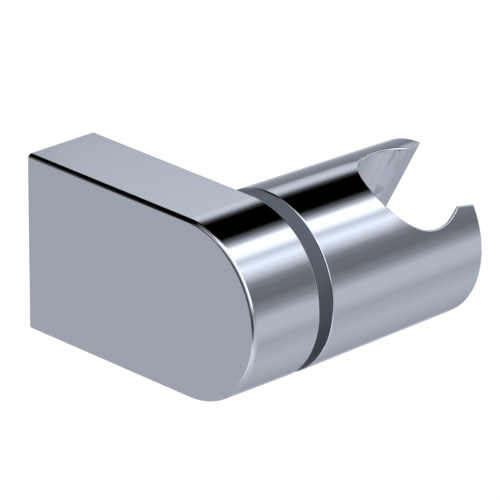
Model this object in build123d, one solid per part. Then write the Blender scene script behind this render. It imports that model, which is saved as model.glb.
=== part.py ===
from build123d import *
import os
from math import asin, degrees, radians, sin, tan

# Wall holder for a hand shower: chromed ABS, with a cradle that swivels against a grey friction ring.
#
# Sizes are in millimetres. The origin is on the wall, midway between the two fixing screws.
# +Y points into the wall, +Z is up, and +X runs along the swivel axis towards the open cradle.
#
# How it is built:
# - base_housing is one moulding. A round cup, open towards the ring, carries the spigot of the
#   swivel, and a square box behind it, open towards the wall, slides over the wall block.
# - wall_block is screwed to the wall through two countersunk holes. A cone-point locking screw,
#   held by a square nut under the housing's floor, wedges in the block's groove.
# - swivel_cradle turns on the spigot. A button-head screw, reached through the cradle and covered
#   by a flush cap, pulls it against the friction ring through two disc springs, so that it stays
#   at any tilt. A lug in the ring's blind slot ends its travel.

# Outer form
base_radius = 20.0  # the rounded nose, and half the height of the base
axis_reach = 49.5  # from the wall to the swivel axis
base_width = 18.65  # along the swivel axis
ring_width = 3.65
ring_set_in = 0.2  # how far the ring lies below the chrome
cradle_length = 44.1
cradle_draft_deg = 0.94  # the cradle narrows towards its open end
face_edge_radius = 1.0  # around the large flat face
joint_edge_radius = 0.35  # beside the friction ring

# Seat for the handset
seat_from_end = 11.8  # from the open end to the seat's axis
seat_mouth_radius = 11.3  # where the seat's axis meets the cradle's upper side
seat_taper_deg = 2.5  # each side
slot_width = 15.0  # level with the seat's axis; lets the hose through, not the handset's cone
slot_flare_deg = 8.0  # each side, towards the open end
seat_edge_radius = 0.3  # around the seat, the slot and the open end
rest_tilt_deg = 30.0  # the seat's lean away from the wall
swivel_travel_deg = 60.0  # either way from there

# Moulded walls
base_wall = 2.5
rib_width = 1.8
cup_rib_count = 6
cup_boss_radius = 10.6
cradle_wall = 3.0
cradle_hub_wall = 2.5
cradle_prong_wall = 2.5
cradle_pocket_end_wall = 2.6
seat_back_wall = 2.65
seat_side_wall = 1.8
stop_rib_angle = 180  # the rib that carries the stop lug, from the seat's upward axis
cradle_rib_angles = (0, 50, 130, stop_rib_angle, 230, 310)

# Swivel bearing
spigot_radius = 8.0
running_clearance = 0.05
press_clearance = 0.02
face_clearance = 0.1
bush_wall = 0.95
bush_length = 4.0
o_ring_wire = 1.7
o_ring_groove_width = 1.9
o_ring_gap = 0.15  # to the cradle's bore
spigot_lip = 0.9  # beyond the groove
spigot_end_gap = 0.5
web_thickness = 4.0

# Pivot screw and what is on it
screw_radius = 3.0
screw_head_radius = 5.25
screw_head_height = 3.3
screw_head_rim = 0.8  # straight part of the head's side
screw_head_land = 0.7  # flat rim around the socket's corners
screw_crown_rise = 0.7  # how far the crown bows out
screw_length = 20.0
screw_socket_flats = 4.0
screw_socket_depth = 2.0
thread_clearance = 0.02
washer_hole_radius = 3.2
washer_radius = 6.0
washer_thickness = 1.0
thrust_washer_radius = 6.3
disc_radius = 6.25
disc_hole_radius = 3.1
disc_thickness = 0.7
disc_height = 1.0
disc_well_clearance = 0.2
insert_radius = 4.5
insert_length = 12.0
insert_collar_radius = 5.2
insert_collar_length = 1.0
insert_groove_depth = 0.4
insert_groove_width = 1.2
insert_core_length = 5.0  # free depth below the insert

# Cap over the screw
cap_radius = 6.9
cap_head_gap = 0.3
cap_set_in = 0.1
cap_skin = 1.4
cap_skirt = 1.2

# Friction ring
ring_bore_clearance = 0.3
ring_key_depth = 3.0
ring_key_inner_radius = 14.0
ring_key_clearance = 0.2
stop_slot_depth = 3.0
stop_lug_inner_radius = 12.8
stop_lug_outer_radius = 15.2
stop_lug_length = 2.6
stop_side_clearance = 0.4
stop_end_clearance_deg = 0.8

# Wall block and its lock
block_depth = 10.0
block_clearance = 0.2
block_edge_chamfer = 0.8
fixing_pitch = 16.0
fixing_hole_radius = 2.25
fixing_sink_radius = 4.3
lock_from_wall = 6.0
lock_groove_depth = 1.7
lock_draw_in = 0.25  # the groove lies nearer the wall, so that the cone draws the housing in
lock_tip_gap = 0.05
lock_screw_radius = 2.5
lock_screw_length = 6.0
lock_screw_tip_radius = 0.3
lock_socket_flats = 2.5
lock_socket_depth = 2.2
lock_hole_radius = 2.8
lock_hole_chamfer = 0.3
nut_flats = 8.0
nut_thickness = 2.7
nut_clearance = 0.1
nut_lip_width = 0.7
nut_lip_thickness = 1.0
nut_stop_width = 1.4

# Places along the swivel axis, from the flat face to the open end
face_x = -base_width / 2
ring_x = base_width / 2
ring_end_x = ring_x + ring_width
cradle_x = ring_end_x + face_clearance
cradle_end_x = cradle_x + cradle_length
seat_x = cradle_end_x - seat_from_end
bush_x = cradle_x + face_clearance
bush_end_x = bush_x + bush_length
o_ring_x = bush_end_x + face_clearance + o_ring_groove_width / 2
spigot_end_x = o_ring_x + o_ring_groove_width / 2 + spigot_lip
web_x = spigot_end_x + spigot_end_gap
web_end_x = web_x + web_thickness
disc_x = web_end_x + washer_thickness
head_washer_x = disc_x + 2 * disc_height
head_x = head_washer_x + washer_thickness
cap_x = head_x + screw_head_height + cap_head_gap
insert_x = spigot_end_x - insert_length

# Radii and heights that follow
cup_radius = base_radius - base_wall
ring_radius = base_radius - ring_set_in
hub_bore_radius = spigot_radius + running_clearance + bush_wall + press_clearance
hub_radius = hub_bore_radius + cradle_hub_wall
disc_well_radius = disc_radius + disc_well_clearance
cradle_end_radius = base_radius - cradle_length * tan(radians(cradle_draft_deg))
seat_mouth_height = base_radius - (seat_x - cradle_x) * tan(radians(cradle_draft_deg))
seat_slope = tan(radians(seat_taper_deg))
seat_axis_radius = seat_mouth_radius - seat_mouth_height * seat_slope  # level with the swivel axis
floor_z = -cup_radius  # inner floor of the square box
nut_top_z = floor_z + nut_thickness
rail_top_z = nut_top_z + nut_clearance + nut_lip_thickness
block_bottom_z = rail_top_z + block_clearance
groove_top_z = block_bottom_z + lock_groove_depth

far = 2 * base_radius  # past any surface
tolerance = 0.001  # for finding an edge by its place


def edges_at(shape, axis, place):
    """The edges of a shape that lie across an axis at one place."""
    return shape.edges().filter_by_position(axis, place - tolerance, place + tolerance)


def along_axis(radius, x_from, x_to, end_radius=None):
    """A cylinder, or a cone, along the X axis."""
    if end_radius is None:
        form = Cylinder(radius, x_to - x_from, align=(Align.CENTER, Align.CENTER, Align.MIN))
    else:
        form = Cone(radius, end_radius, x_to - x_from, align=(Align.CENTER, Align.CENTER, Align.MIN))
    return Pos(x_from, 0, 0) * Rot(0, 90, 0) * form


def tube(inner_radius, outer_radius, x_from, x_to):
    """A tube along the X axis."""
    section = Circle(outer_radius) - Circle(inner_radius)
    return extrude(Plane.YZ.offset(x_from) * section, x_to - x_from)


def block(x_range, y_range, z_range):
    """A box from its lowest to its highest place on each axis."""
    low, high = zip(x_range, y_range, z_range)
    size = [b - a for a, b in zip(low, high)]
    return Pos(*low) * Box(*size, align=(Align.MIN, Align.MIN, Align.MIN))


def hexagon(flats):
    """A hexagon by its width across flats."""
    return RegularPolygon(flats / 2, 6, major_radius=False)


def rib(angle, width, x_from, x_to, from_radius=0.0, to_radius=far):
    """A radial rib, at an angle from the upward axis, turning from +Z towards -Y."""
    return Rot(angle, 0, 0) * block((x_from, x_to), (-width / 2, width / 2), (from_radius, to_radius))


def arc_tube(inner_radius, outer_radius, x_from, x_to, angle, half_angle):
    """Part of a tube along the X axis, to both sides of an angle from the upward axis."""
    size = (x_to - x_from, outer_radius - inner_radius)
    section = Pos(x_from, inner_radius) * Rectangle(*size, align=(Align.MIN, Align.MIN))
    return Rot(angle - half_angle, 0, 0) * revolve(Plane.XZ * section, Axis.X, 2 * half_angle)


def on_base(part):
    """From the swivel axis to its place on the wall frame."""
    return Pos(0, -axis_reach, 0) * part


def on_cradle(part):
    """From an upright cradle to the tilt it rests at."""
    return on_base(Rot(rest_tilt_deg, 0, 0) * part)


def base_outside():
    """The base's outer form: square at the wall and half round at the front."""
    side = Pos(-axis_reach / 2, 0) * Rectangle(axis_reach, 2 * base_radius)
    side += Pos(-axis_reach, 0) * Circle(base_radius)
    body = extrude(Plane.YZ.offset(face_x) * side, base_width)
    for x, radius in ((face_x, face_edge_radius), (ring_x, joint_edge_radius)):
        around = [edge for edge in edges_at(body, Axis.X, x) if edge.center().Y < -tolerance]
        body = fillet(around, radius)
    return body


def box_space():
    """The space for the wall block, behind the cup and open to the wall."""
    side = Pos(-axis_reach / 2, 0) * Rectangle(axis_reach, 2 * cup_radius)
    side -= Pos(-axis_reach, 0) * Circle(base_radius)
    return extrude(Plane.YZ.offset(face_x + base_wall) * side, base_width - 2 * base_wall)


def cup_space():
    """The ribbed space around the spigot's foot, open to the ring."""
    space = tube(cup_boss_radius, cup_radius, face_x + base_wall, ring_x)
    for number in range(cup_rib_count):
        space -= rib(number * 360 / cup_rib_count, rib_width, face_x, ring_x)
    return space


def spigot():
    """The round stub that the cradle turns on, with the groove for the rubber ring."""
    groove_radius = hub_bore_radius - o_ring_gap - o_ring_wire
    groove_x = o_ring_x - o_ring_groove_width / 2
    stub = along_axis(spigot_radius, ring_x - base_wall, spigot_end_x)
    return stub - tube(groove_radius, far, groove_x, groove_x + o_ring_groove_width)


def insert_outside():
    """The brass insert without its bore. Plastic fills the groove round it."""
    body = along_axis(insert_radius, insert_x, spigot_end_x)
    body += along_axis(insert_collar_radius, spigot_end_x - insert_collar_length, spigot_end_x)
    groove_x = insert_x + insert_length / 2 - insert_groove_width / 2
    return body - tube(insert_radius - insert_groove_depth, far, groove_x, groove_x + insert_groove_width)


def lock_hole():
    """The hole under the locking screw, with a broken edge."""
    upright = (Align.CENTER, Align.CENTER, Align.MIN)
    hole = Cylinder(lock_hole_radius, base_wall, align=upright)
    hole += Cone(lock_hole_radius + lock_hole_chamfer, lock_hole_radius, lock_hole_chamfer, align=upright)
    return Pos(0, -lock_from_wall, -base_radius) * hole


def nut_track():
    """Rails with lips that hold the square nut on the floor, and the stop at their deep end."""
    half = base_width / 2 - base_wall
    slot = nut_flats / 2 + nut_clearance
    deep_y = -lock_from_wall - nut_flats / 2 - nut_clearance
    stop_y = deep_y - nut_stop_width
    solid = block((-half, half), (stop_y, 0), (floor_z, rail_top_z))
    nut_way = block((-slot, slot), (deep_y, 0), (floor_z, nut_top_z + nut_clearance))
    screw_way = block((nut_lip_width - slot, slot - nut_lip_width), (deep_y, 0), (floor_z, rail_top_z))
    return solid - nut_way - screw_way


def base_housing():
    """One moulding: the D form with the cup, the spigot and the box that slides over the wall block."""
    body = base_outside() - box_space() - on_base(cup_space()) + on_base(spigot()) + nut_track()
    core = along_axis(screw_radius, insert_x - insert_core_length, spigot_end_x)
    return body - on_base(insert_outside() + core) - lock_hole()


def wall_block():
    """The steel block on the wall, with two countersunk holes and a groove for the locking screw."""
    half = base_width / 2 - base_wall - block_clearance
    body = block((-half, half), (-block_depth, 0), (block_bottom_z, cup_radius - block_clearance))
    body = chamfer(edges_at(body, Axis.Y, -block_depth), block_edge_chamfer)
    sink_depth = fixing_sink_radius - fixing_hole_radius
    hole = Rot(90, 0, 0) * Cylinder(
        fixing_hole_radius, block_depth, align=(Align.CENTER, Align.CENTER, Align.MIN)
    )
    hole += Pos(0, sink_depth - block_depth, 0) * Rot(90, 0, 0) * Cone(
        fixing_hole_radius, fixing_sink_radius, sink_depth, align=(Align.CENTER, Align.CENTER, Align.MIN)
    )
    for z in (-fixing_pitch / 2, fixing_pitch / 2):
        body -= Pos(0, 0, z) * hole
    groove_y = -lock_from_wall + lock_draw_in
    outline = Polyline(
        (groove_y - lock_groove_depth, block_bottom_z),
        (groove_y, groove_top_z),
        (groove_y + lock_groove_depth, block_bottom_z),
        close=True,
    )
    return body - extrude(Plane.YZ.offset(-far / 2) * make_face(outline), far)


def locking_screw():
    """Cone-point grub screw with a hexagon socket, driven from below."""
    tip_z = groove_top_z - lock_draw_in - lock_screw_tip_radius - lock_tip_gap
    cone_height = lock_screw_radius - lock_screw_tip_radius
    low_z = tip_z - lock_screw_length
    profile = make_face(
        Polyline(
            (0, low_z),
            (lock_screw_radius, low_z),
            (lock_screw_radius, tip_z - cone_height),
            (lock_screw_tip_radius, tip_z),
            (0, tip_z),
            close=True,
        )
    )
    body = revolve(Plane.XZ * profile, Axis.Z)
    socket = extrude(Plane.XY.offset(low_z) * hexagon(lock_socket_flats), lock_socket_depth)
    return Pos(0, -lock_from_wall, 0) * (body - socket)


def locking_nut():
    """Thin square nut, slid in along its rails from the wall side."""
    body = block(
        (-nut_flats / 2, nut_flats / 2),
        (-nut_flats / 2, nut_flats / 2),
        (floor_z, nut_top_z),
    )
    bore = Cylinder(lock_screw_radius + thread_clearance, far)
    return Pos(0, -lock_from_wall, 0) * (body - bore)


def friction_ring():
    """The grey ring: keyed between the cup's ribs, with a blind slot for the cradle's stop lug."""
    body = tube(spigot_radius + ring_bore_clearance, ring_radius, ring_x, ring_end_x)
    half_bay = 180 / cup_rib_count
    key_half_angle = half_bay - degrees(asin((rib_width / 2 + ring_key_clearance) / ring_key_inner_radius))
    for angle in (half_bay, half_bay + 180):
        body += arc_tube(
            ring_key_inner_radius,
            cup_radius - ring_key_clearance,
            ring_x - ring_key_depth,
            ring_x,
            angle,
            key_half_angle,
        )
    lug_half_angle = degrees(asin(rib_width / 2 / stop_lug_inner_radius))
    slot = arc_tube(
        stop_lug_inner_radius - stop_side_clearance,
        stop_lug_outer_radius + stop_side_clearance,
        ring_end_x - stop_slot_depth,
        ring_end_x,
        rest_tilt_deg + stop_rib_angle,
        swivel_travel_deg + lug_half_angle + stop_end_clearance_deg,
    )
    return on_base(body - slot)


def seat_cone(offset=0.0):
    """The tapered seat for the handset, as a solid along Z, grown sideways by offset."""
    rise = far * seat_slope
    cone = Cone(seat_axis_radius + offset - rise, seat_axis_radius + offset + rise, 2 * far)
    return Pos(seat_x, 0, 0) * cone


def hose_slot():
    """The flared slot from the seat to the open end, as a solid along Z."""
    half = slot_width / 2
    end_half = half + far * tan(radians(slot_flare_deg))
    corners = [(seat_x, -half), (seat_x + far, -end_half), (seat_x + far, end_half), (seat_x, half)]
    return extrude(make_face(Polyline(*corners, close=True)), far, both=True)


def cradle_outside():
    """The drafted round body with the seat and, from the seat to the open end, the slot."""
    blank = along_axis(base_radius, cradle_x, cradle_end_x, cradle_end_radius)
    blank = fillet(edges_at(blank, Axis.X, cradle_x), joint_edge_radius)
    body = blank - seat_cone() - hose_slot()
    rim = new_edges(blank, combined=body)
    rim += edges_at(body, Axis.X, cradle_end_x).filter_by(GeomType.CIRCLE)
    return fillet(rim, seat_edge_radius)


def cradle_coring():
    """The ribbed space around the hub, and two deep cores beside the seat, all drawn towards the ring."""
    back_x = seat_x - seat_mouth_radius - seat_back_wall
    pocket = tube(hub_radius, base_radius - cradle_wall, cradle_x, back_x)
    for angle in cradle_rib_angles:
        pocket -= rib(angle, rib_width, cradle_x, back_x)
    deep_end_x = cradle_end_x - cradle_pocket_end_wall
    side_y = seat_mouth_radius + seat_side_wall
    deep = along_axis(cradle_end_radius - cradle_prong_wall, back_x, deep_end_x)
    return pocket + (deep - block((back_x, deep_end_x), (-side_y, side_y), (-far, far)))


def screw_way():
    """The stepped bore on the swivel axis: spigot, web, disc springs and screw head, then the cap."""
    bore = along_axis(hub_bore_radius, cradle_x, web_x)
    bore += along_axis(washer_hole_radius, web_x, web_end_x)
    bore += along_axis(disc_well_radius, web_end_x, seat_x)
    return bore + along_axis(cap_radius, cap_x, seat_x)


def swivel_cradle():
    """The swivelling moulding, with the lug that stops it in the ring's slot."""
    lug = rib(
        stop_rib_angle,
        rib_width,
        cradle_x - stop_lug_length,
        cradle_x,
        stop_lug_inner_radius,
        stop_lug_outer_radius,
    )
    return on_cradle(cradle_outside() - cradle_coring() - screw_way() + lug)


def bearing_bush():
    """Thin plastic bush pressed into the cradle's hub, running on the spigot."""
    inner = spigot_radius + running_clearance
    return on_cradle(tube(inner, inner + bush_wall, bush_x, bush_end_x))


def o_ring():
    """Rubber ring in the spigot's groove, which damps the swivel."""
    centre_radius = hub_bore_radius - o_ring_gap - o_ring_wire / 2
    return on_base(Pos(o_ring_x, 0, 0) * Rot(0, 90, 0) * Torus(centre_radius, o_ring_wire / 2))


def thread_insert():
    """Brass insert for the pivot screw, moulded into the spigot."""
    return on_base(insert_outside() - along_axis(screw_radius + thread_clearance, insert_x, spigot_end_x))


def thrust_washer():
    """Plastic washer between the cradle's web and the disc springs."""
    return on_cradle(tube(washer_hole_radius, thrust_washer_radius, web_end_x, disc_x))


def disc_spring(x, hollow_side):
    """A coned spring washer. Its hollow side looks along X by the sign given."""
    rise = disc_height - disc_thickness
    low, high = (rise, 0) if hollow_side > 0 else (0, rise)
    profile = make_face(
        Polyline(
            (x + high, disc_radius),
            (x + high + disc_thickness, disc_radius),
            (x + low + disc_thickness, disc_hole_radius),
            (x + low, disc_hole_radius),
            close=True,
        )
    )
    return on_base(revolve(Plane.XY * profile, Axis.X))


def head_washer():
    """Steel washer under the screw's head."""
    return on_base(tube(washer_hole_radius, washer_radius, head_washer_x, head_x))


def pivot_screw():
    """Button-head screw with a hexagon socket, through the cradle's web into the brass insert."""
    top_x = head_x + screw_head_height
    rim_x = head_x + screw_head_rim
    land_radius = screw_socket_flats / 2 + screw_head_land
    side = Polyline(
        (top_x, land_radius),
        (top_x, 0),
        (head_x, 0),
        (head_x, screw_head_radius),
        (rim_x, screw_head_radius),
    )
    crown = SagittaArc((rim_x, screw_head_radius), (top_x, land_radius), screw_crown_rise)
    head = make_face(side + crown)
    body = revolve(head, Axis.X) + along_axis(screw_radius, head_x - screw_length, head_x)
    socket = extrude(Plane.YZ.offset(top_x - screw_socket_depth) * hexagon(screw_socket_flats), far)
    return on_base(body - socket)


def screw_cap():
    """Push-in cap over the pivot screw. Its face continues the seat's cone."""
    body = along_axis(cap_radius - press_clearance, cap_x, seat_x) - seat_cone(cap_set_in)
    hollow = along_axis(cap_radius - cap_skirt, cap_x, seat_x - seat_axis_radius - cap_set_in - cap_skin)
    return on_cradle(body - hollow)


PARTS = {
    "base_housing": base_housing,
    "wall_block": wall_block,
    "locking_screw": locking_screw,
    "locking_nut": locking_nut,
    "thread_insert": thread_insert,
    "friction_ring": friction_ring,
    "o_ring": o_ring,
    "swivel_cradle": swivel_cradle,
    "bearing_bush": bearing_bush,
    "thrust_washer": thrust_washer,
    "disc_spring_inner": lambda: disc_spring(disc_x, 1),
    "disc_spring_outer": lambda: disc_spring(disc_x + disc_height, -1),
    "head_washer": head_washer,
    "pivot_screw": pivot_screw,
    "screw_cap": screw_cap,
}

os.makedirs("parts", exist_ok=True)
for name, make in PARTS.items():
    export_step(make(), f"parts/{name}.step")
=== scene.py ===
import math

import bmesh
import bpy
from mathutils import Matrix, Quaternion, Vector

# The holder as packed: a chrome housing that slides over a block screwed to the wall, and a
# chrome cradle that tilts on the housing's spigot. Sizes and places are in metres, as packed.
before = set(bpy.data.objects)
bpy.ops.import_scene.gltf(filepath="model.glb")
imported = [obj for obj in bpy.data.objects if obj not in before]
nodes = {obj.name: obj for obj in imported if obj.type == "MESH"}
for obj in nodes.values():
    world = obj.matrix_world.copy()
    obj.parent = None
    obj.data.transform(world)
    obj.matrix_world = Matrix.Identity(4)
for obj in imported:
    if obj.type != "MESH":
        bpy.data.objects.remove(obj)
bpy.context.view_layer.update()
scene = bpy.context.scene
scene.view_settings.view_transform = "Standard"


# Camera. A long lens about 1.4 m away, to the left of the holder and a little above it, so that
# the flat cheek, the nose and the whole length of the cradle show in one picture.
cheek_x = -0.009325
turn, lift, roll = math.radians(-43.12), math.radians(22.53), math.radians(0.05)
distance, shift_right, shift_down = 1.374, 0.046648, 0.00159
to_right = Vector((math.cos(turn), math.sin(turn), 0))
to_lens = Vector((math.sin(turn) * math.cos(lift), -math.cos(turn) * math.cos(lift), math.sin(lift)))
to_top = to_lens.cross(to_right)
camera = bpy.data.objects.new("camera", bpy.data.cameras.new("camera"))
camera.data.lens = 468.6
camera.data.sensor_width = 36.0
camera.data.clip_end = 20.0
camera.location = (Vector((cheek_x, 0, 0)) + to_lens * distance
                   + to_right * shift_right - to_top * shift_down)
camera.rotation_mode = "QUATERNION"
camera.rotation_quaternion = Quaternion(to_lens, roll) @ to_lens.to_track_quat("Z", "Y")
scene.collection.objects.link(camera)
scene.camera = camera


# Studio lamps. Two soft boxes and an even white room, which light the plastic, rubber and steel
# at a plain level. The chrome mirrors the light tent instead, so the lamps don't show in it.
tilt_axis_y = -0.0495
middle = Vector((0.02, tilt_axis_y, 0))
room_as_light, room_as_seen = 0.3, 1.0


def soft_box(name, place, size, watts):
    """A square lamp that faces the middle of the holder."""
    lamp = bpy.data.objects.new(name, bpy.data.lights.new(name, "AREA"))
    lamp.data.size = size
    lamp.data.energy = watts
    lamp.location = place
    lamp.rotation_mode = "QUATERNION"
    lamp.rotation_quaternion = (Vector(place) - middle).to_track_quat("Z", "Y")
    lamp.visible_glossy = False
    scene.collection.objects.link(lamp)


def seen_directly(tree):
    """1 for a ray that shows the background itself, or its mirror image in metal or glass."""
    path = tree.nodes.new("ShaderNodeLightPath")
    camera_or_mirror = tree.nodes.new("ShaderNodeMath")
    camera_or_mirror.operation = "ADD"
    tree.links.new(path.outputs["Is Camera Ray"], camera_or_mirror.inputs[0])
    tree.links.new(path.outputs["Is Glossy Ray"], camera_or_mirror.inputs[1])
    any_of_them = tree.nodes.new("ShaderNodeMath")
    any_of_them.operation = "ADD"
    any_of_them.use_clamp = True
    tree.links.new(camera_or_mirror.outputs[0], any_of_them.inputs[0])
    tree.links.new(path.outputs["Is Transmission Ray"], any_of_them.inputs[1])
    return any_of_them.outputs[0]


soft_box("lamp_above", (-0.15, -0.5, 0.9), size=0.5, watts=5.8)
soft_box("lamp_side", (-0.9, -0.45, 0.3), size=0.5, watts=0.8)
room = bpy.data.worlds.new("white_room")
scene.world = room
room.use_nodes = True
room_light = room.node_tree.nodes["Background"]
room_light.inputs["Color"].default_value = (1, 1, 1, 1)
room_level = room.node_tree.nodes.new("ShaderNodeMapRange")
room_level.inputs["To Min"].default_value = room_as_light
room_level.inputs["To Max"].default_value = room_as_seen
room.node_tree.links.new(seen_directly(room.node_tree), room_level.inputs["Value"])
room.node_tree.links.new(room_level.outputs[0], room_light.inputs["Strength"])


# Floor. A matt white sheet well below the holder, which hangs in the air as in a catalogue cut-out.
# It takes the holder's shadow outside the picture. A black card hangs between them, so that little
# light comes up from below, and the lens and the chrome don't see it.
floor_z, card_z = -1.6, -0.2
floor_half, card_half = 15.0, 0.9
glow_as_seen = 0.75


def flat_sheet(name, half, height):
    """A level square sheet, from minus half to half each way."""
    mesh = bpy.data.meshes.new(name)
    corners = [(-half, -half, height), (half, -half, height), (half, half, height), (-half, half, height)]
    mesh.from_pydata(corners, [], [(0, 1, 2, 3)])
    sheet = bpy.data.objects.new(name, mesh)
    scene.collection.objects.link(sheet)
    return sheet


floor = flat_sheet("floor", floor_half, floor_z)
floor_paint = bpy.data.materials.new("white_floor")
floor_paint.use_nodes = True
floor_look = floor_paint.node_tree.nodes["Principled BSDF"]
floor_look.inputs["Base Color"].default_value = (0.86, 0.86, 0.86, 1)
floor_look.inputs["Roughness"].default_value = 0.8
floor_look.inputs["Emission Color"].default_value = (1, 1, 1, 1)
floor_glow = floor_paint.node_tree.nodes.new("ShaderNodeMath")
floor_glow.operation = "MULTIPLY"
floor_glow.inputs[1].default_value = glow_as_seen
floor_paint.node_tree.links.new(seen_directly(floor_paint.node_tree), floor_glow.inputs[0])
floor_paint.node_tree.links.new(floor_glow.outputs[0], floor_look.inputs["Emission Strength"])
floor.data.materials.append(floor_paint)

card = flat_sheet("black_card", card_half, card_z)
card.visible_camera = False
card.visible_glossy = False
card_paint = bpy.data.materials.new("black_card")
card_paint.use_nodes = True
card_paint.node_tree.nodes["Principled BSDF"].inputs["Base Color"].default_value = (0.01, 0.01, 0.01, 1)
card.data.materials.append(card_paint)


# Light tent. White cloth, grey card and black flags hung round the holder as a tube, which is what
# the chrome mirrors. Only the chrome sees it: it casts no light or shadow on the other pieces.
tent_radius, tent_half, tent_sides = 0.6, 1.7, 144
cloth_tint = (0.835, 0.911, 1.038)
closed_end_colour = (0.08, 0.085, 0.09, 1)
open_end_colour = (0.03, 0.033, 0.036, 1)

# Levels of white round the tube, listed in degrees from the top towards the front. Along the
# tube, from its closed end, come the flag, far, cheek, rim, cradle, seat and end sides.
bright_bands = [(-6, 0.0), (0, 0.16), (6, 0.62), (11, 1.6), (20, 1.6), (29, 0.8), (39, 1.25), (46, 0.95),
                (58, 0.31), (66, 0.22), (78, 0.2), (90, 0.33), (102, 0.64), (116, 0.65)]
plain_bands = [(-67, 0.25), (-55, 0.8), (-45, 0.4), (-38, 0.0), (-6, 0.0), (6, 0.6), (12, 1.5), (40, 1.2),
               (58, 0.3), (78, 0.2), (102, 0.6), (132, 0.5)]
far_bands = [(-180, 0.95), (-166, 0.8), (-146, 0.51), (-108, 0.51), (-88, 0.45), (-79, 0.02), (-54, 0.0),
             (-47, 0.4), (-35, 0.6), (0, 0.7), (60, 0.7), (90, 0.6)]
flag_side = [*far_bands, (97, 0.3), (102, 0.0), (126, 0.0), (135, 0.5), (145, 0.9), (180, 0.95)]
far_side = [*far_bands, (126, 0.55), (135, 0.7), (145, 0.9), (180, 0.95)]
cheek_side = [(-180, 0.51), (-112, 0.51), (-104, 0.82), (-90, 0.82), (-82, 0.4), (-65, 0.3), (-59, 0.0),
              (-33, 0.0), (-25, 0.2), (-12, 0.25), (2, 1.5), (76, 1.5), (90, 0.33), (102, 0.6), (116, 0.65),
              (128, 0.8), (140, 0.9), (160, 0.66), (180, 0.51)]
rim_side = [(-180, 0.54), (-140, 0.54), (-115, 0.8), (-95, 0.8), (-80, 0.3), (-69, 0.26), (-62, 0.3),
            (-58, 0.0), *bright_bands, (132, 0.6), (150, 0.68), (180, 0.54)]
cradle_side = [(-180, 0.54), (-150, 0.41), (-140, 0.54), (-118, 0.7), (-105, 0.7), (-90, 0.38), (-68, 0.25),
               (-62, 0.62), (-55, 0.8), (-50, 0.76), (-41, 0.08), (-36, 0.0), *bright_bands, (132, 0.5),
               (160, 0.6), (180, 0.54)]
seat_side = [(-180, 0.5), (-165, 0.48), (-145, 0.58), (-130, 0.7), (-104, 0.7), (-90, 0.4), *plain_bands,
             (180, 0.5)]
end_side = [(-180, 1.0), (-104, 1.0), (-90, 0.4), *plain_bands, (155, 1.0), (180, 1.0)]


def tube_of_cloth(name, radius, half, sides):
    """A tube along X round the tilt axis, closed at the cheek's end and open beyond the cradle."""
    mesh = bmesh.new()
    rims = []
    for x in (-half, half):
        rims.append([mesh.verts.new((x, tilt_axis_y - radius * math.sin(2 * math.pi * k / sides),
                                     radius * math.cos(2 * math.pi * k / sides))) for k in range(sides)])
    for k in range(sides):
        mesh.faces.new((rims[0][k], rims[1][k], rims[1][(k + 1) % sides], rims[0][(k + 1) % sides]))
    mesh.faces.new(rims[0])
    for face in mesh.faces:
        face.smooth = True
    data = bpy.data.meshes.new(name)
    mesh.to_mesh(data)
    mesh.free()
    cloth = bpy.data.objects.new(name, data)
    scene.collection.objects.link(cloth)
    return cloth


def turned_from_top(tree, place):
    """The turn round the tube as a share: 0 at minus 180 degrees, 0.5 at the top, 1 at 180 degrees."""
    front = tree.nodes.new("ShaderNodeMath")
    front.operation = "MULTIPLY_ADD"
    front.inputs[1].default_value = -1.0
    front.inputs[2].default_value = tilt_axis_y
    tree.links.new(place["Y"], front.inputs[0])
    turned = tree.nodes.new("ShaderNodeMath")
    turned.operation = "ARCTAN2"
    tree.links.new(front.outputs[0], turned.inputs[0])
    tree.links.new(place["Z"], turned.inputs[1])
    share = tree.nodes.new("ShaderNodeMapRange")
    share.inputs["From Min"].default_value = -math.pi
    share.inputs["From Max"].default_value = math.pi
    tree.links.new(turned.outputs[0], share.inputs["Value"])
    return share.outputs[0]


def cloth_levels(tree, share_turned, levels):
    """The cloth's colour round the tube, from a list of (degrees, level)."""
    ramp = tree.nodes.new("ShaderNodeValToRGB")
    stops = ramp.color_ramp.elements
    while len(stops) < len(levels):
        stops.new(0.5)
    for stop, (degrees, level) in zip(stops, levels):
        stop.position = (degrees + 180) / 360
        stop.color = (*(level * part for part in cloth_tint), 1)
    tree.links.new(share_turned, ramp.inputs["Fac"])
    return ramp.outputs["Color"]


def along_tube(tree, x_place, x_from, x_to):
    """0 to 1 along the tube, from one place to another."""
    change = tree.nodes.new("ShaderNodeMapRange")
    change.interpolation_type = "SMOOTHSTEP"
    change.inputs["From Min"].default_value = x_from
    change.inputs["From Max"].default_value = x_to
    tree.links.new(x_place, change.inputs["Value"])
    return change.outputs[0]


def mixed(tree, share, first, second):
    """Two colours mixed by a share of the second."""
    mix = tree.nodes.new("ShaderNodeMix")
    mix.data_type = "RGBA"
    for value, socket in ((share, mix.inputs["Factor"]), (first, mix.inputs["A"]), (second, mix.inputs["B"])):
        if isinstance(value, tuple):
            socket.default_value = value
        else:
            tree.links.new(value, socket)
    return mix.outputs["Result"]


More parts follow.
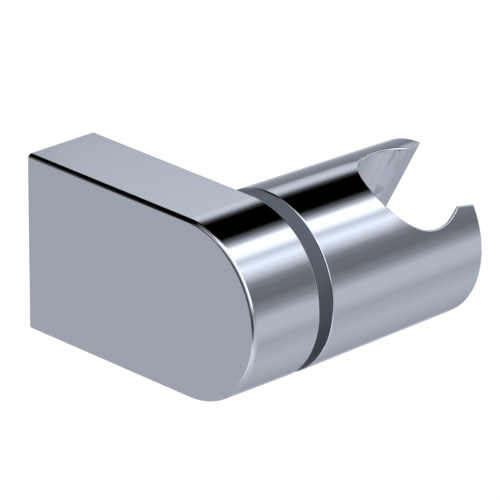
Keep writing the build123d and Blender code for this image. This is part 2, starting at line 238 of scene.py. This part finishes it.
tent = tube_of_cloth("light_tent", tent_radius, tent_half, tent_sides)
tent.visible_camera = False
tent.visible_diffuse = False
tent.visible_shadow = False
tent_cloth = bpy.data.materials.new("tent_cloth")
tent_cloth.use_nodes = True
tree = tent_cloth.node_tree
tree.nodes.clear()
spot = tree.nodes.new("ShaderNodeTexCoord")
split = tree.nodes.new("ShaderNodeSeparateXYZ")
tree.links.new(spot.outputs["Object"], split.inputs[0])
x_place = split.outputs["X"]
share_turned = turned_from_top(tree, split.outputs)
cloth = cloth_levels(tree, share_turned, cheek_side)
for x_from, x_to, side in ((-0.06, 0.05, rim_side), (0.36, 0.43, cradle_side), (0.6, 0.66, seat_side),
                           (0.78, 0.84, end_side), (-0.46, -0.52, far_side), (-0.6, -0.63, flag_side)):
    cloth = mixed(tree, along_tube(tree, x_place, x_from, x_to), cloth, cloth_levels(tree, share_turned, side))
for x_from, x_to, colour in ((-1.08, -1.25, closed_end_colour), (1.2, 1.3, open_end_colour)):
    cloth = mixed(tree, along_tube(tree, x_place, x_from, x_to), cloth, colour)
glow = tree.nodes.new("ShaderNodeEmission")
tree.links.new(cloth, glow.inputs["Color"])
out = tree.nodes.new("ShaderNodeOutputMaterial")
tree.links.new(glow.outputs[0], out.inputs["Surface"])
tent.data.materials.append(tent_cloth)


# Housing, cradle and screw cap. Plastic mouldings plated with copper, nickel and bright chrome. The
# housing slides over the block on the wall, the cradle turns on the housing's spigot, and the cap is
# pushed in over the pivot screw. The plating is a clear mirror with a faint ripple and haze.
def new_effect(name, given, result, kind):
    """An empty shader node group with its named inputs, one named output and the sockets inside it."""
    group = bpy.data.node_groups.new(name, "ShaderNodeTree")
    for label, value in given.items():
        group.interface.new_socket(label, in_out="INPUT", socket_type="NodeSocketFloat").default_value = value
    group.interface.new_socket(result, in_out="OUTPUT", socket_type=kind)
    return group, group.nodes.new("NodeGroupInput").outputs, group.nodes.new("NodeGroupOutput").inputs


patchy_value, given, result = new_effect("patchy_value", {"Scale": 90.0, "Low": 0.4, "High": 0.6},
                                         "Value", "NodeSocketFloat")
spot = patchy_value.nodes.new("ShaderNodeTexCoord")
noise = patchy_value.nodes.new("ShaderNodeTexNoise")
noise.inputs["Detail"].default_value = 3.0
spread = patchy_value.nodes.new("ShaderNodeMapRange")
spread.inputs["From Min"].default_value = 0.35
spread.inputs["From Max"].default_value = 0.65
patchy_value.links.new(spot.outputs["Object"], noise.inputs["Vector"])
patchy_value.links.new(given["Scale"], noise.inputs["Scale"])
patchy_value.links.new(noise.outputs["Fac"], spread.inputs["Value"])
patchy_value.links.new(given["Low"], spread.inputs["To Min"])
patchy_value.links.new(given["High"], spread.inputs["To Max"])
patchy_value.links.new(spread.outputs[0], result["Value"])

uneven_surface, given, result = new_effect("uneven_surface", {"Scale": 110.0, "Depth": 0.00001},
                                           "Normal", "NodeSocketVector")
spot = uneven_surface.nodes.new("ShaderNodeTexCoord")
noise = uneven_surface.nodes.new("ShaderNodeTexNoise")
noise.inputs["Detail"].default_value = 2.0
relief = uneven_surface.nodes.new("ShaderNodeBump")
uneven_surface.links.new(spot.outputs["Object"], noise.inputs["Vector"])
uneven_surface.links.new(given["Scale"], noise.inputs["Scale"])
uneven_surface.links.new(noise.outputs["Fac"], relief.inputs["Height"])
uneven_surface.links.new(given["Depth"], relief.inputs["Distance"])
uneven_surface.links.new(relief.outputs["Normal"], result["Normal"])


def effect(tree, group, **values):
    """One use of a shader node group, with its inputs set, and its output."""
    use = tree.nodes.new("ShaderNodeGroup")
    use.node_tree = group
    for label, value in values.items():
        use.inputs[label].default_value = value
    return use.outputs[0]


def new_finish(name, metallic, colours, roughness, roughness_scale, relief, relief_scale, relief_depth,
               colour_scale=0.0):
    """A new material: one colour or patches of two, patches of roughness, and an uneven surface."""
    finish = bpy.data.materials.new(name)
    finish.use_nodes = True
    tree = finish.node_tree
    look = tree.nodes["Principled BSDF"]
    look.inputs["Metallic"].default_value = metallic
    if len(colours) == 2:
        patches = effect(tree, patchy_value, Scale=colour_scale, Low=0.0, High=1.0)
        tree.links.new(mixed(tree, patches, *colours), look.inputs["Base Color"])
    else:
        look.inputs["Base Color"].default_value = colours[0]
    dull = effect(tree, patchy_value, Scale=roughness_scale, Low=roughness[0], High=roughness[1])
    tree.links.new(dull, look.inputs["Roughness"])
    uneven = effect(tree, relief, Scale=relief_scale, Depth=relief_depth)
    tree.links.new(uneven, look.inputs["Normal"])
    return finish


def dress(names, finish):
    """Gives the named pieces their finish."""
    for name in names:
        nodes[name].material_slots[0].material = finish


bright_chrome = new_finish("bright_chrome", metallic=1.0, colours=((0.775, 0.78, 0.79, 1),),
                           roughness=(0.052, 0.068), roughness_scale=70.0,
                           relief=uneven_surface, relief_scale=110.0, relief_depth=0.000006)
dress(("base_housing", "swivel_cradle", "screw_cap"), bright_chrome)


# Friction ring. Grey moulded plastic with a fine spark-eroded grain, keyed into the housing's cup.
# The disc springs press the cradle against it, which holds the cradle at any tilt.
ring_plastic = new_finish("grey_ring_plastic", metallic=0.0,
                          colours=((0.108, 0.132, 0.156, 1), (0.118, 0.144, 0.17, 1)), colour_scale=160.0,
                          roughness=(0.45, 0.55), roughness_scale=400.0,
                          relief=uneven_surface, relief_scale=3200.0, relief_depth=0.000004)
ring_plastic.node_tree.nodes["Principled BSDF"].inputs["Specular IOR Level"].default_value = 0.2
dress(("friction_ring",), ring_plastic)


# Wall block. Milled steel with a dull zinc plating, screwed to the wall through its two countersunk
# holes. The housing slides over it, and the locking screw's cone wedges in its groove.
zinc_plate = new_finish("zinc_plated_steel", metallic=1.0,
                        colours=((0.5, 0.52, 0.53, 1), (0.64, 0.65, 0.64, 1)), colour_scale=420.0,
                        roughness=(0.34, 0.5), roughness_scale=260.0,
                        relief=uneven_surface, relief_scale=2600.0, relief_depth=0.000009)
dress(("wall_block",), zinc_plate)


# Locking screw and nut. A grub screw with a cone point and a hexagon socket, and the thin square
# nut that holds it under the housing's floor. Both are zinc-plated steel, rolled and pressed.
screw_steel = new_finish("screw_steel", metallic=1.0,
                         colours=((0.5, 0.51, 0.53, 1), (0.6, 0.6, 0.6, 1)), colour_scale=500.0,
                         roughness=(0.24, 0.4), roughness_scale=900.0,
                         relief=uneven_surface, relief_scale=4200.0, relief_depth=0.000004)
dress(("locking_screw", "locking_nut"), screw_steel)


# Pivot screw and washer. A button-head screw with a hexagon socket and a plain washer, in stainless
# steel. They pull the cradle towards the ring. Their turned faces carry fine rings.
turned_marks, given, result = new_effect("turned_marks", {"Scale": 9000.0, "Depth": 0.000002},
                                         "Normal", "NodeSocketVector")
spot = turned_marks.nodes.new("ShaderNodeTexCoord")
parts = turned_marks.nodes.new("ShaderNodeSeparateXYZ")
off_axis = turned_marks.nodes.new("ShaderNodeMath")
off_axis.operation = "SUBTRACT"
off_axis.inputs[1].default_value = tilt_axis_y
across = turned_marks.nodes.new("ShaderNodeCombineXYZ")
radius = turned_marks.nodes.new("ShaderNodeVectorMath")
radius.operation = "LENGTH"
section = turned_marks.nodes.new("ShaderNodeCombineXYZ")
noise = turned_marks.nodes.new("ShaderNodeTexNoise")
noise.noise_dimensions = "2D"
relief = turned_marks.nodes.new("ShaderNodeBump")
turned_marks.links.new(spot.outputs["Object"], parts.inputs[0])
turned_marks.links.new(parts.outputs["Y"], off_axis.inputs[0])
turned_marks.links.new(off_axis.outputs[0], across.inputs["Y"])
turned_marks.links.new(parts.outputs["Z"], across.inputs["Z"])
turned_marks.links.new(across.outputs[0], radius.inputs[0])
turned_marks.links.new(parts.outputs["X"], section.inputs["X"])
turned_marks.links.new(radius.outputs["Value"], section.inputs["Y"])
turned_marks.links.new(section.outputs[0], noise.inputs["Vector"])
turned_marks.links.new(given["Scale"], noise.inputs["Scale"])
turned_marks.links.new(noise.outputs["Fac"], relief.inputs["Height"])
turned_marks.links.new(given["Depth"], relief.inputs["Distance"])
turned_marks.links.new(relief.outputs["Normal"], result["Normal"])

turned_steel = new_finish("turned_steel", metallic=1.0, colours=((0.6, 0.59, 0.57, 1),),
                          roughness=(0.22, 0.34), roughness_scale=600.0,
                          relief=turned_marks, relief_scale=9000.0, relief_depth=0.000003)
dress(("pivot_screw", "head_washer"), turned_steel)


# Disc springs. Two coned washers of hardened spring steel, back to back under the screw's head.
# Tempering leaves them dark, with a bluish bloom in patches.
spring_steel = new_finish("spring_steel", metallic=1.0,
                          colours=((0.3, 0.3, 0.31, 1), (0.27, 0.31, 0.38, 1)), colour_scale=350.0,
                          roughness=(0.28, 0.44), roughness_scale=700.0,
                          relief=turned_marks, relief_scale=7000.0, relief_depth=0.000003)
dress(("disc_spring_inner", "disc_spring_outer"), spring_steel)


# Thread insert. Turned brass, moulded into the housing's spigot. The pivot screw turns in its
# thread, which would soon strip in the plastic.
brass = new_finish("turned_brass", metallic=1.0,
                   colours=((0.72, 0.53, 0.26, 1), (0.8, 0.62, 0.34, 1)), colour_scale=300.0,
                   roughness=(0.22, 0.36), roughness_scale=500.0,
                   relief=turned_marks, relief_scale=6000.0, relief_depth=0.000004)
dress(("thread_insert",), brass)


# Rubber ring. Moulded black nitrile in the groove of the housing's spigot. It is lightly greased,
# and damps the cradle's tilt.
rubber = new_finish("black_rubber", metallic=0.0,
                    colours=((0.018, 0.018, 0.019, 1), (0.035, 0.035, 0.036, 1)), colour_scale=500.0,
                    roughness=(0.42, 0.68), roughness_scale=350.0,
                    relief=uneven_surface, relief_scale=3800.0, relief_depth=0.000006)
dress(("o_ring",), rubber)


# Bush and thrust washer. White acetal: the bush is pressed into the cradle's hub and runs on the
# spigot, and the washer lies between the cradle's web and the springs.
acetal = new_finish("white_acetal", metallic=0.0,
                    colours=((0.77, 0.77, 0.75, 1), (0.82, 0.82, 0.8, 1)), colour_scale=240.0,
                    roughness=(0.3, 0.42), roughness_scale=400.0,
                    relief=uneven_surface, relief_scale=2400.0, relief_depth=0.000003)
dress(("bearing_bush", "thrust_washer"), acetal)
